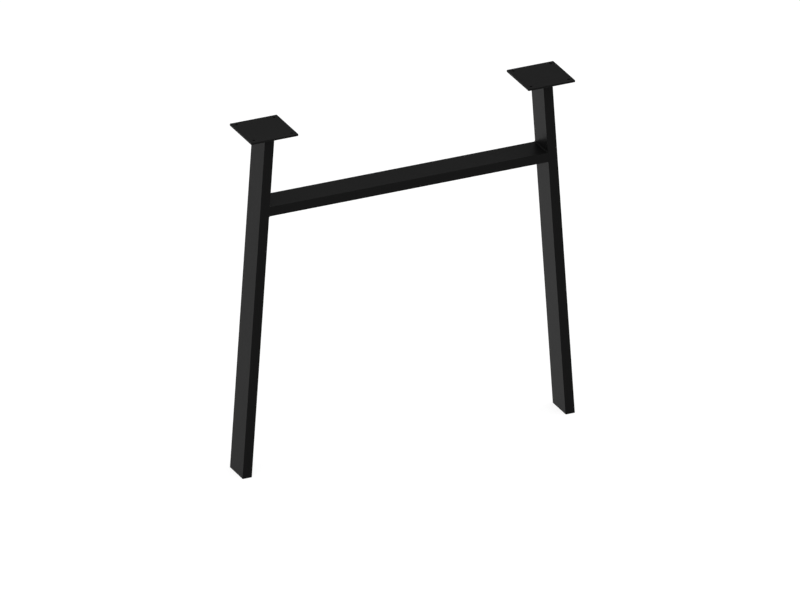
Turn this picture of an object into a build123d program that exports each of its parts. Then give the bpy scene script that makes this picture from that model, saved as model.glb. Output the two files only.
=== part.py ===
from build123d import *
from math import atan2, cos, sin, tan
import os

os.makedirs("parts", exist_ok=True)

# A welded steel table leg: two splayed legs of flat rectangular tube, a crossbar of the same tube
# between them, a square mounting plate on each leg and a plastic plug in each foot.
# +X runs along the crossbar, +Y across the tubes' broad faces, +Z is up.
# The origin is on the floor, midway between the feet.

# Overall sizes, in millimetres
height = 720.0  # floor to the top face of the mounting plates
plate_span = 588.0  # between the middles of the mounting plates
leg_set_out = 1.0  # of each leg's middle from its plate's, outwards, under the plate
foot_span = 690.0  # between the middles of the feet, on the floor
crossbar_drop = 163.0  # from the top face of the plates down to the middle of the crossbar

# Rectangular tube, the same stock for the legs and the crossbar
tube_depth = 60.0  # along Y
tube_width = 20.0
tube_wall = 1.5
tube_corner_radius = 1.2  # outside
tube_bore_radius = 0.5  # inside

# Mounting plates
plate_side = 100.0
plate_thickness = 4.0
plate_corner_radius = 1.5
plate_edge_break = 0.3
screw_hole_diameter = 5.5
screw_hole_inset = 10.0  # from the plate's edges to the middle of each hole

# Fillet welds, measured along the faces that they join
plate_weld_leg = 3.0
crossbar_weld_leg = 1.5
weld_toe = 0.2  # thickness of a bead where it runs out
groove_fill = 0.7  # depth of the metal in the groove along the leg's rounded edge

# Foot plugs
plug_flange = 2.0
plug_edge_break = 0.5
plug_depth = 22.0  # of the part inside the tube, along the leg
plug_wall = 1.6
plug_floor = 2.0  # of the hollow part, above the flange
plug_fin_count = 4
plug_fin_thickness = 1.2
plug_fin_reach = 0.9  # of each fin beyond the plug's wall
plug_clearance = 0.1  # between the fins and the inside of the tube
plug_corner_radius = 1.0

# Places that follow from the sizes
plate_underside = height - plate_thickness
crossbar_height = height - crossbar_drop
splay = atan2((foot_span - plate_span) / 2 - leg_set_out, plate_underside)
leg_length = plate_underside / cos(splay)
mitre_allowance = tube_width  # of extra tube at each end, cut away by the mitres
level_width = tube_width / cos(splay)  # of a leg where a level plane cuts it
level_bore_width = (tube_width - 2 * tube_wall) / cos(splay)
bore_depth = tube_depth - 2 * tube_wall
joint_height = tube_width / cos(splay)  # of the crossbar where the leg's sloping face cuts it

# The left leg leans to the right as it rises
leg_upward = Vector(sin(splay), 0, cos(splay))
leg_inward = Vector(cos(splay), 0, -sin(splay))


def leg_middle(level):
    """The X of the left leg's middle at a height above the floor."""
    return -foot_span / 2 + level * tan(splay)


def level_plane(level):
    """A level plane with its origin in the middle of the left leg at that height."""
    return Plane(origin=(leg_middle(level), 0, level))


def joint_plane(distance):
    """A plane parallel to the left leg's inner face, at a distance from it along the crossbar."""
    middle = leg_middle(crossbar_height) + level_width / 2 + distance
    return Plane(origin=(middle, 0, crossbar_height), x_dir=(0, 1, 0), z_dir=leg_inward)


# The leg's section is square to its axis
section_plane = Plane(origin=(-foot_span / 2, 0, 0), x_dir=leg_inward, z_dir=leg_upward)


# Outside of the left leg, mitred level under the plate and above the plug's flange
with BuildPart() as leg_outside:
    with BuildSketch(section_plane.offset(-mitre_allowance)):
        RectangleRounded(tube_width, tube_depth, tube_corner_radius)
    extrude(amount=leg_length + 2 * mitre_allowance)
    split(bisect_by=Plane.XY.offset(plug_flange), keep=Keep.TOP)
    split(bisect_by=Plane.XY.offset(plate_underside), keep=Keep.BOTTOM)

# Outside of the crossbar, its ends cut to the slope of the legs' inner faces
with BuildPart() as crossbar_outside:
    with BuildSketch(Plane.YZ):
        with Locations((0, crossbar_height)):
            RectangleRounded(tube_depth, tube_width, tube_corner_radius)
    extrude(amount=foot_span / 2, both=True)
    split(bisect_by=joint_plane(0), keep=Keep.TOP)
    mirror(about=Plane.YZ, mode=Mode.INTERSECT)


# Legs: open tubes
with BuildPart() as left_leg_tube:
    add(leg_outside.part)
    with BuildSketch(section_plane.offset(-mitre_allowance)):
        RectangleRounded(tube_width - 2 * tube_wall, bore_depth, tube_bore_radius)
    extrude(amount=leg_length + 2 * mitre_allowance, mode=Mode.SUBTRACT)

left_leg_tube.part.label = "left_leg_tube"
export_step(left_leg_tube.part, "parts/left_leg_tube.step")

with BuildPart() as right_leg_tube:
    mirror(left_leg_tube.part, about=Plane.YZ)

right_leg_tube.part.label = "right_leg_tube"
export_step(right_leg_tube.part, "parts/right_leg_tube.step")


# Crossbar: an open tube that the legs close at both ends
with BuildPart() as crossbar_tube:
    add(crossbar_outside.part)
    with BuildSketch(Plane.YZ):
        with Locations((0, crossbar_height)):
            RectangleRounded(bore_depth, tube_width - 2 * tube_wall, tube_bore_radius)
    extrude(amount=foot_span / 2, both=True, mode=Mode.SUBTRACT)

crossbar_tube.part.label = "crossbar_tube"
export_step(crossbar_tube.part, "parts/crossbar_tube.step")


# Mounting plates: the table top is screwed on through the four corner holes
with BuildPart() as left_mounting_plate:
    with BuildSketch(Plane.XY.offset(plate_underside)):
        with Locations((-plate_span / 2, 0)):
            RectangleRounded(plate_side, plate_side, plate_corner_radius)
    extrude(amount=plate_thickness)
    flat_faces = left_mounting_plate.faces().filter_by(Axis.Z)
    chamfer(flat_faces.edges(), length=plate_edge_break)
    with Locations((-plate_span / 2, 0, height)):
        hole_pitch = plate_side - 2 * screw_hole_inset
        with GridLocations(hole_pitch, hole_pitch, 2, 2):
            Hole(screw_hole_diameter / 2)

left_mounting_plate.part.label = "left_mounting_plate"
export_step(left_mounting_plate.part, "parts/left_mounting_plate.step")

with BuildPart() as right_mounting_plate:
    mirror(left_mounting_plate.part, about=Plane.YZ)

right_mounting_plate.part.label = "right_mounting_plate"
export_step(right_mounting_plate.part, "parts/right_mounting_plate.step")


# Plate welds: a fillet bead round the top of each leg, against the plate's underside
with BuildPart() as left_plate_weld:
    with BuildSketch(level_plane(plate_underside - plate_weld_leg)):
        RectangleRounded(
            level_width + 2 * weld_toe, tube_depth + 2 * weld_toe, tube_corner_radius + weld_toe
        )
    with BuildSketch(level_plane(plate_underside)):
        RectangleRounded(
            level_width + 2 * plate_weld_leg,
            tube_depth + 2 * plate_weld_leg,
            tube_corner_radius + plate_weld_leg,
        )
    loft(ruled=True)
    add(leg_outside.part, mode=Mode.SUBTRACT)

left_plate_weld.part.label = "left_plate_weld"
export_step(left_plate_weld.part, "parts/left_plate_weld.step")

with BuildPart() as right_plate_weld:
    mirror(left_plate_weld.part, about=Plane.YZ)

right_plate_weld.part.label = "right_plate_weld"
export_step(right_plate_weld.part, "parts/right_plate_weld.step")


# Crossbar welds: a fillet bead above and below the crossbar, joined at front and back by the metal
# that fills the groove along the leg's rounded edge, dressed flush with the tubes
with BuildPart() as left_crossbar_weld:
    for distance, thickness in (
        (-groove_fill, crossbar_weld_leg),
        (0, crossbar_weld_leg),
        (crossbar_weld_leg, weld_toe),
    ):
        with BuildSketch(joint_plane(distance)):
            RectangleRounded(tube_depth, joint_height + 2 * thickness, tube_corner_radius)
    loft(ruled=True)
    add(leg_outside.part, mode=Mode.SUBTRACT)
    add(crossbar_outside.part, mode=Mode.SUBTRACT)

left_crossbar_weld.part.label = "left_crossbar_weld"
export_step(left_crossbar_weld.part, "parts/left_crossbar_weld.step")

with BuildPart() as right_crossbar_weld:
    mirror(left_crossbar_weld.part, about=Plane.YZ)

right_crossbar_weld.part.label = "right_crossbar_weld"
export_step(right_crossbar_weld.part, "parts/right_crossbar_weld.step")


# Foot plugs: a flange that carries the tube's outline down to the floor, and a hollow part with
# gripping fins that follows the leg's slope inside the tube
fin_width = level_bore_width - 2 * plug_clearance
fin_depth = bore_depth - 2 * plug_clearance
plug_body_width = fin_width - 2 * plug_fin_reach
plug_body_depth = fin_depth - 2 * plug_fin_reach
plug_rise = plug_depth * cos(splay)
fin_pitch = plug_rise / (plug_fin_count + 0.5)

with BuildPart() as left_foot_plug:
    with BuildSketch(level_plane(0)):
        RectangleRounded(level_width, tube_depth, tube_corner_radius)
    extrude(amount=plug_flange / cos(splay), dir=leg_upward)
    chamfer(left_foot_plug.faces().sort_by(Axis.Z)[0].edges(), length=plug_edge_break)
    with BuildSketch(level_plane(plug_flange)):
        RectangleRounded(plug_body_width, plug_body_depth, plug_corner_radius)
    extrude(amount=plug_depth, dir=leg_upward)
    for number in range(plug_fin_count):
        fin_level = plug_flange + (number + 0.5) * fin_pitch
        with BuildSketch(level_plane(fin_level)):
            RectangleRounded(fin_width, fin_depth, tube_bore_radius)
        extrude(amount=plug_fin_thickness, dir=leg_upward)
    with BuildSketch(level_plane(plug_flange + plug_floor)):
        RectangleRounded(
            plug_body_width - 2 * plug_wall, plug_body_depth - 2 * plug_wall, plug_corner_radius
        )
    extrude(amount=plug_depth, dir=leg_upward, mode=Mode.SUBTRACT)

left_foot_plug.part.label = "left_foot_plug"
export_step(left_foot_plug.part, "parts/left_foot_plug.step")

with BuildPart() as right_foot_plug:
    mirror(left_foot_plug.part, about=Plane.YZ)

right_foot_plug.part.label = "right_foot_plug"
export_step(right_foot_plug.part, "parts/right_foot_plug.step")
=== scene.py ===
import math
from typing import NamedTuple

import bmesh
import bpy
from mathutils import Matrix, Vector


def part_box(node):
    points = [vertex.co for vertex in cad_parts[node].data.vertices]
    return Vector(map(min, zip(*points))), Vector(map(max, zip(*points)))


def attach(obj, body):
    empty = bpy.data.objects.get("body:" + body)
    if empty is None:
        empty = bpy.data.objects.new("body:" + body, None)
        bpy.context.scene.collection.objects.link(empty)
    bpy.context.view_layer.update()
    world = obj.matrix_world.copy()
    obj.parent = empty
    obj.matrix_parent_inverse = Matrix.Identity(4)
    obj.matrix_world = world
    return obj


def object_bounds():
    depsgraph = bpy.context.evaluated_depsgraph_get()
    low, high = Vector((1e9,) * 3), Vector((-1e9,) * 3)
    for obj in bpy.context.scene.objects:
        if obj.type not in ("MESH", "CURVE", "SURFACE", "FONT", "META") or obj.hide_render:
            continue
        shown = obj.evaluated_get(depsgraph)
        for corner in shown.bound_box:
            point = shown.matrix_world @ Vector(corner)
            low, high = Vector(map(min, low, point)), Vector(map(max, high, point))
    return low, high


# A welded steel table leg in black powder coat with black plastic foot plugs, in a white studio.
# The CAD pieces keep their shapes, and rippled beads lie over their welds.
# Lengths are in metres unless a comment says otherwise.

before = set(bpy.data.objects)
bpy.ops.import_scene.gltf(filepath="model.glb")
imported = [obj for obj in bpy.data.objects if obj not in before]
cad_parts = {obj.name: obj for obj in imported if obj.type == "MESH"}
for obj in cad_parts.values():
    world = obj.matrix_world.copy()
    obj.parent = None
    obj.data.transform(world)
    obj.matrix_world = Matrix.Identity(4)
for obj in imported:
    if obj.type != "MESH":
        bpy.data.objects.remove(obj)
cad_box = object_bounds()

# The photograph's view: a long lens from far away, round to the left of the front and above
CAMERA_AZIMUTH = -25.0  # degrees
CAMERA_ELEVATION = 25.0  # degrees
CAMERA_DISTANCE = 50.0
CAMERA_REACH = (5.0, 500.0)  # nearest and farthest that it sees
PIXELS_PER_METRE = 518.0  # at the middle of the leg
PICTURE_WIDTH = 800  # pixels
PICTURE_MIDDLE = (399.5, 299.5)  # pixels
LEG_MIDDLE_PIXEL = (402.28, 270.93)  # where the point halfway up between the legs shows

# Studio, with greys and light levels where 1 is white
CEILING_GREY = 0.325
CEILING_ELEVATION = 6.0  # degrees, where the white of the horizon has turned to the ceiling's grey
FLOOR_GREY = 0.45  # that lights the leg from below
FLOOR_GLOW = 0.82  # the part of the floor's white that no shadow falls on
FLOOR_SHADE = 0.25  # the part that the lamps light, and so falls into shadow
FLOOR_SIDE = 12.0  # so that it ends before the lamps
LAMP_DISTANCE = 6.0
LAMP_SIDE = 4.0


class Lamp(NamedTuple):
    """A soft box that faces the middle of the leg."""

    name: str
    azimuth: float  # degrees round from the front
    elevation: float  # degrees
    watts: float


LAMPS = (
    Lamp("left_soft_box", azimuth=-85, elevation=15, watts=150),
    Lamp("right_soft_box", azimuth=85, elevation=15, watts=200),
    Lamp("back_soft_box", azimuth=165, elevation=60, watts=50),
    Lamp("front_soft_box", azimuth=20, elevation=30, watts=60),
    Lamp("top_soft_box", azimuth=-20, elevation=75, watts=140),
)

NOISE_MIDDLE = (0.3, 0.7)  # between which most of a noise pattern lies

INWARD = {"left": 1, "right": -1}  # the sign of X from each side towards the other
TUBE_CORNER = 0.0012  # radius, outside


class Bead(NamedTuple):
    """The sizes of a weld bead."""

    leg: float  # from the corner to where the bead runs out on each face
    crown: float  # how far its middle stands out past the straight line between its edges
    pitch: float  # from ripple to ripple
    ripple: float  # height of the ripples
    lag: float  # how far a ripple's ends trail behind its middle


PLATE_BEAD = Bead(leg=0.0034, crown=0.0004, pitch=0.0015, ripple=0.00016, lag=0.0016)
CROSSBAR_BEAD = Bead(leg=0.0018, crown=0.00015, pitch=0.0010, ripple=0.00007, lag=0.0009)
BEAD_SINK = 0.0001  # of its edges into the faces
BEAD_STEP = 0.00021  # between the points along a bead
BEAD_POINTS_ACROSS = 15
BEAD_ROUNDNESS = 0.7  # power of the bulge across a bead: the lower, the steeper its edges
BEAD_END_ROUND = 0.0016  # of the ends that are dressed flush with the tubes
RIPPLE_MIDDLE = 0.6  # share of a ripple's height that lies under the bead's crown
OVERLAP_LENGTH = 0.004  # of the low hump where a bead runs into its own start
OVERLAP_RISE = 0.6  # of the hump, as a share of the crown
SWELL_SHARE = 0.05  # how much a bead's width wavers by hand
SWELL_LENGTHS = (0.013, 0.0215)  # of the two waves that it wavers in
SWELL_PHASE = 2.1  # radians between the two waves


class Route(NamedTuple):
    """The corner between two faces that a bead fills."""

    points: list  # each a place, the direction from it along the first face, and a distance along
    second: Vector  # the direction from every place along the second face
    length: float
    closed: bool


def direction_to(azimuth, elevation):
    """The direction from the leg to what stands so many degrees round from its front, and up."""
    round_angle = math.radians(azimuth)
    up_angle = math.radians(elevation)
    return Vector(
        (
            math.sin(round_angle) * math.cos(up_angle),
            -math.cos(round_angle) * math.cos(up_angle),
            math.sin(up_angle),
        )
    )


def make_camera():
    """The camera that gives the photograph's view of the leg."""
    back = direction_to(CAMERA_AZIMUTH, CAMERA_ELEVATION)
    right = Vector((-back.y, back.x, 0)).normalized()
    up = back.cross(right)
    low, high = cad_box
    leg_middle = Vector((0, 0, (low.z + high.z) / 2))
    aside = (PICTURE_MIDDLE[0] - LEG_MIDDLE_PIXEL[0]) / PIXELS_PER_METRE
    below = (PICTURE_MIDDLE[1] - LEG_MIDDLE_PIXEL[1]) / PIXELS_PER_METRE
    aim = leg_middle + right * aside - up * below
    data = bpy.data.cameras.new("photo_camera")
    data.lens = data.sensor_width * CAMERA_DISTANCE * PIXELS_PER_METRE / PICTURE_WIDTH
    data.clip_start, data.clip_end = CAMERA_REACH
    camera = bpy.data.objects.new("photo_camera", data)
    camera.location = leg_middle + back * CAMERA_DISTANCE
    camera.rotation_euler = (camera.location - aim).to_track_quat("Z", "Y").to_euler()
    bpy.context.scene.collection.objects.link(camera)
    bpy.context.scene.camera = camera


def make_lamp(lamp):
    """A square soft box in its place."""
    data = bpy.data.lights.new(lamp.name, "AREA")
    data.shape = "SQUARE"
    data.size = LAMP_SIDE
    data.energy = lamp.watts
    back = direction_to(lamp.azimuth, lamp.elevation)
    low, high = cad_box
    box = bpy.data.objects.new(lamp.name, data)
    box.location = (low + high) / 2 + back * LAMP_DISTANCE
    box.rotation_euler = back.to_track_quat("Z", "Y").to_euler()
    bpy.context.scene.collection.objects.link(box)


def grey(level):
    """A grey as a shader's socket takes it."""
    return (level, level, level, 1)


def new_material(name):
    """An empty node material with its output, as (material, nodes, links, output)."""
    material = bpy.data.materials.new(name)
    material.use_nodes = True
    nodes = material.node_tree.nodes
    nodes.clear()
    output = nodes.new("ShaderNodeOutputMaterial")
    return material, nodes, material.node_tree.links, output


class Surface:
    """A material of one shader, with patterns over the object's own coordinates."""

    def __init__(self, name, specular):
        self.material, self.nodes, self.links, output = new_material(name)
        self.where = self.nodes.new("ShaderNodeTexCoord")
        self.shader = self.nodes.new("ShaderNodeBsdfPrincipled")
        self.shader.inputs["Specular IOR Level"].default_value = specular
        self.links.new(self.shader.outputs["BSDF"], output.inputs["Surface"])
        self.normal = None

    def noise(self, waves, detail):
        """A noise pattern with so many waves per metre and so many finer layers in it."""
        pattern = self.nodes.new("ShaderNodeTexNoise")
        pattern.inputs["Scale"].default_value = waves
        pattern.inputs["Detail"].default_value = detail
        self.links.new(self.where.outputs["Object"], pattern.inputs["Vector"])
        return pattern.outputs["Fac"]

    def colour(self, pattern, dark, light):
        """Varies the grey by a pattern."""
        mix = self.nodes.new("ShaderNodeMix")
        mix.data_type = "RGBA"
        mix.inputs["A"].default_value = grey(dark)
        mix.inputs["B"].default_value = grey(light)
        self.links.new(pattern, mix.inputs["Factor"])
        self.links.new(mix.outputs["Result"], self.shader.inputs["Base Color"])

    def roughness(self, pattern, least, most):
        """Varies the roughness by a pattern's middle range."""
        spread = self.nodes.new("ShaderNodeMapRange")
        spread.inputs["From Min"].default_value = NOISE_MIDDLE[0]
        spread.inputs["From Max"].default_value = NOISE_MIDDLE[1]
        spread.inputs["To Min"].default_value = least
        spread.inputs["To Max"].default_value = most
        self.links.new(pattern, spread.inputs["Value"])
        self.links.new(spread.outputs["Result"], self.shader.inputs["Roughness"])

    def relief(self, pattern, height):
        """Adds relief of that height by a pattern, over any relief before it."""
        bump = self.nodes.new("ShaderNodeBump")
        bump.inputs["Distance"].default_value = height
        self.links.new(pattern, bump.inputs["Height"])
        if self.normal is not None:
            self.links.new(self.normal, bump.inputs["Normal"])
        self.normal = bump.outputs["Normal"]
        self.links.new(self.normal, self.shader.inputs["Normal"])


def powder_coat():
    """Black powder coat: fine orange peel with a finer grain in it, and a slightly uneven gloss."""
    coat = Surface("powder_coat_black", specular=0.045)
    cloud = coat.noise(waves=14, detail=2)
    peel = coat.noise(waves=650, detail=1)
    grain = coat.noise(waves=2600, detail=2)
    coat.colour(cloud, dark=0.0045, light=0.006)
    coat.roughness(grain, least=0.36, most=0.46)
    coat.relief(peel, height=0.000035)
    coat.relief(grain, height=0.00001)
    return coat.material


def plug_plastic():
    """Matt black moulded plastic with a fine spark-eroded grain."""
    plastic = Surface("plug_plastic_black", specular=0.05)
    cloud = plastic.noise(waves=60, detail=2)
    grain = plastic.noise(waves=3000, detail=3)
    plastic.colour(cloud, dark=0.007, light=0.009)
    plastic.roughness(grain, least=0.55, most=0.70)
    plastic.relief(grain, height=0.00002)
    return plastic.material


def dress(name, material):
    """Gives a CAD node a material, in its one slot."""
    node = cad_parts[name]
    node.data.materials.clear()
    node.data.materials.append(material)


def leg_lean(side):
    """The unit vector up a leg's axis."""
    leg_low, leg_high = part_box(f"{side}_leg_tube")
    weld_low, weld_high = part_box(f"{side}_plate_weld")
    weld_reach = weld_high.y - leg_high.y  # past the leg, the same on every side
    level_width = weld_high.x - weld_low.x - 2 * weld_reach
    run = leg_high.x - leg_low.x - level_width
    return Vector((INWARD[side] * run, 0, leg_high.z - leg_low.z)).normalized()


def leg_inner_x(side, level, lean):
    """Where a leg's inner face is at that height."""
    leg_low, leg_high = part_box(f"{side}_leg_tube")
    top_x = leg_high.x if side == "left" else leg_low.x
    return top_x - lean.x / lean.z * (leg_high.z - level)


def ring(low, high):
    """The points of a route round a tube, at the top of the box of its outline, and its length."""
    centre = (low + high) / 2
    half = (high - low) / 2
    arc = (TUBE_CORNER + PLATE_BEAD.leg / 2) * math.pi / 2  # at the middle of the bead
    arc_points = round(arc / BEAD_STEP)
    points = []
    run = 0.0
    for number, (x_side, y_side) in enumerate(((1, 1), (-1, 1), (-1, -1), (1, -1))):
        x_reach = x_side * (half.x - TUBE_CORNER)
        y_reach = y_side * (half.y - TUBE_CORNER)
        pivot = centre + Vector((x_reach, y_reach, half.z))
        for index in range(arc_points):
            share = index / arc_points
            angle = (number + share) * math.pi / 2
            outward = Vector((math.cos(angle), math.sin(angle), 0))
            points.append((pivot + outward * TUBE_CORNER, outward, run + share * arc))
        run += arc
        angle = (number + 1) * math.pi / 2
        outward = Vector((math.cos(angle), math.sin(angle), 0))
        forward = Vector((-outward.y, outward.x, 0))
        straight = 2 * ((half.x if number % 2 == 0 else half.y) - TUBE_CORNER)
        straight_points = round(straight / BEAD_STEP)
        for index in range(straight_points):
            share = index / straight_points
            place = pivot + outward * TUBE_CORNER + forward * straight * share
            points.append((place, outward, run + straight * share))
        run += straight
    return points, run


def bead_relief(bead, route, along, across):
    """How far a bead's skin stands out past the straight line between its edges."""
    waves = round(route.length / bead.pitch) / route.length
    trail = bead.lag * (2 * across - 1) ** 2
    ripple = abs(math.sin(math.pi * (along + trail) * waves))
    crown = bead.crown
    if route.closed:
        from_start = min(along, route.length - along)
        crown *= 1 + OVERLAP_RISE * math.exp(-((from_start / (OVERLAP_LENGTH / 2)) ** 2))
    bulge = math.sin(math.pi * across) ** BEAD_ROUNDNESS
    return (crown + bead.ripple * (ripple - RIPPLE_MIDDLE)) * bulge


def bead_swell(route, along):
    """The share by which a bead's width wavers there."""
    share = 0.0
    for number, wave in enumerate(SWELL_LENGTHS):
        turns = max(1, round(route.length / wave))
        angle = 2 * math.pi * turns * along / route.length + SWELL_PHASE * number
        share += SWELL_SHARE / 2 * math.sin(angle)
    return share


def bead_taper(route, along):
    """The share of its size that a bead has there: its open ends round down to nothing."""
    if route.closed:
        return 1.0
    reach = min(along, route.length - along, BEAD_END_ROUND) / BEAD_END_ROUND
    return math.sqrt(max(0.0, 1 - (1 - reach) ** 2))


def bead_points(bead, route):
    """The points of a bead's skin, in rows across it."""
    points = []
    for place, first, along in route.points:
        taper = bead_taper(route, along)
        size = bead.leg * (1 + bead_swell(route, along)) * taper
        outward = (first + route.second).normalized()
        for index in range(BEAD_POINTS_ACROSS):
            across = index / (BEAD_POINTS_ACROSS - 1)
            flat = place + first * size * (1 - across) + route.second * size * across
            relief = bead_relief(bead, route, along, across) * taper
            points.append(flat + outward * (relief - BEAD_SINK))
    return points


def bead_faces(route):
    """The faces between a bead's rows of points."""
    faces = []
    rows = len(route.points)
    for row in range(rows if route.closed else rows - 1):
        here = row * BEAD_POINTS_ACROSS
        after = (row + 1) % rows * BEAD_POINTS_ACROSS
        for index in range(BEAD_POINTS_ACROSS - 1):
            faces.append((here + index, after + index, after + index + 1, here + index + 1))
    return faces


def make_bead(name, bead, route, coat):
    """A rippled fillet bead as a piece of the leg."""
    mesh = bpy.data.meshes.new(name)
    mesh.from_pydata(bead_points(bead, route), [], bead_faces(route))
    skin = bmesh.new()
    skin.from_mesh(mesh)
    bmesh.ops.recalc_face_normals(skin, faces=skin.faces)
    skin.to_mesh(mesh)
    skin.free()
    mesh.shade_smooth()
    mesh.materials.append(coat)
    piece = bpy.data.objects.new(name, mesh)
    bpy.context.scene.collection.objects.link(piece)
    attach(piece, "root")


def make_plate_bead(side, lean, coat):
    """The bead round the top of a leg, under its plate."""
    weld_low, weld_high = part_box(f"{side}_plate_weld")
    weld_reach = weld_high.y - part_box(f"{side}_leg_tube")[1].y
    margin = Vector((weld_reach, weld_reach, 0))
    points, length = ring(weld_low + margin, weld_high - margin)
    route = Route(points, second=-lean, length=length, closed=True)
    make_bead(f"{side}_plate_bead", PLATE_BEAD, route, coat)


def make_crossbar_beads(side, lean, coat):
    """The beads above and below an end of the crossbar, dressed flush at front and back."""
    bar_low, bar_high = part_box("crossbar_tube")
    inward = Vector((INWARD[side], 0, 0))
    length = bar_high.y - bar_low.y
    steps = round(length / BEAD_STEP)
    for name, level, away in (("upper", bar_high.z, lean), ("lower", bar_low.z, -lean)):
        joint_x = leg_inner_x(side, level, lean)
        points = []
        for step in range(steps + 1):
            along = length * step / steps
            points.append((Vector((joint_x, bar_low.y + along, level)), inward, along))
        route = Route(points, second=away, length=length, closed=False)
        make_bead(f"{side}_crossbar_{name}_bead", CROSSBAR_BEAD, route, coat)


def shown(nodes, links):
    """1 for the rays that show the studio: the camera's, and those that gloss and glass send on."""
    ray = nodes.new("ShaderNodeLightPath")
    share = ray.outputs["Is Camera Ray"]
    for kind in ("Is Glossy Ray", "Is Transmission Ray"):
        either = nodes.new("ShaderNodeMath")
        either.operation = "MAXIMUM"
        links.new(share, either.inputs[0])
        links.new(ray.outputs[kind], either.inputs[1])
        share = either.outputs["Value"]
    return share


def mix_shaders(nodes, links, share, first, second):
    """The first shader where the share is 0, and the second where it is 1."""
    mix = nodes.new("ShaderNodeMixShader")
    links.new(share, mix.inputs["Fac"])
    links.new(first, mix.inputs[1])
    links.new(second, mix.inputs[2])
    return mix.outputs["Shader"]


def floor_material():
    """Shows white from above with the leg's shadow in it, and is clear from below."""
    material, nodes, links, output = new_material("studio_floor")
    plain = nodes.new("ShaderNodeBsdfDiffuse")
    plain.inputs["Color"].default_value = grey(FLOOR_GREY)
    shaded = nodes.new("ShaderNodeBsdfDiffuse")
    shaded.inputs["Color"].default_value = grey(FLOOR_SHADE)
    glow = nodes.new("ShaderNodeEmission")
    glow.inputs["Strength"].default_value = FLOOR_GLOW
    white = nodes.new("ShaderNodeAddShader")
    links.new(shaded.outputs["BSDF"], white.inputs[0])
    links.new(glow.outputs["Emission"], white.inputs[1])
    clear = nodes.new("ShaderNodeBsdfTransparent")
    side = nodes.new("ShaderNodeNewGeometry")
    to_show = shown(nodes, links)
    above = mix_shaders(nodes, links, to_show, plain.outputs["BSDF"], white.outputs["Shader"])
    both = mix_shaders(nodes, links, side.outputs["Backfacing"], above, clear.outputs["BSDF"])
    links.new(both, output.inputs["Surface"])
    return material


def make_floor():
    """The level floor that the leg stands on."""
    half = FLOOR_SIDE / 2
    corners = [(-half, -half, 0), (half, -half, 0), (half, half, 0), (-half, half, 0)]
    mesh = bpy.data.meshes.new("studio_floor")
    mesh.from_pydata(corners, [], [(0, 1, 2, 3)])
    mesh.materials.append(floor_material())
    floor = bpy.data.objects.new("studio_floor", mesh)
    bpy.context.scene.collection.objects.link(floor)


def make_world():
    """A white room up to the horizon that turns to an even grey ceiling above it."""
    world = bpy.data.worlds.new("studio")
    world.use_nodes = True
    nodes, links = world.node_tree.nodes, world.node_tree.links
    nodes.clear()
    direction = nodes.new("ShaderNodeTexCoord")
    parts = nodes.new("ShaderNodeSeparateXYZ")
    rise = nodes.new("ShaderNodeMapRange")
    rise.interpolation_type = "SMOOTHSTEP"
    rise.inputs["From Min"].default_value = 0.0
    rise.inputs["From Max"].default_value = math.sin(math.radians(CEILING_ELEVATION))
    rise.inputs["To Min"].default_value = 1.0
    rise.inputs["To Max"].default_value = CEILING_GREY
    room = nodes.new("ShaderNodeBackground")
    room.inputs["Color"].default_value = grey(1)
    output = nodes.new("ShaderNodeOutputWorld")
    links.new(direction.outputs["Generated"], parts.inputs["Vector"])
    links.new(parts.outputs["Z"], rise.inputs["Value"])
    links.new(rise.outputs["Result"], room.inputs["Strength"])
    links.new(room.outputs["Background"], output.inputs["Surface"])
    bpy.context.scene.world = world


coat = powder_coat()
plastic = plug_plastic()
dress("crossbar_tube", coat)

for side in INWARD:
    for part in ("leg_tube", "mounting_plate", "plate_weld", "crossbar_weld"):
        dress(f"{side}_{part}", coat)
    dress(f"{side}_foot_plug", plastic)
    lean = leg_lean(side)
    make_plate_bead(side, lean, coat)
    make_crossbar_beads(side, lean, coat)

make_floor()
make_world()
for lamp in LAMPS:
    make_lamp(lamp)
make_camera()

bpy.context.scene.view_settings.view_transform = "Standard"
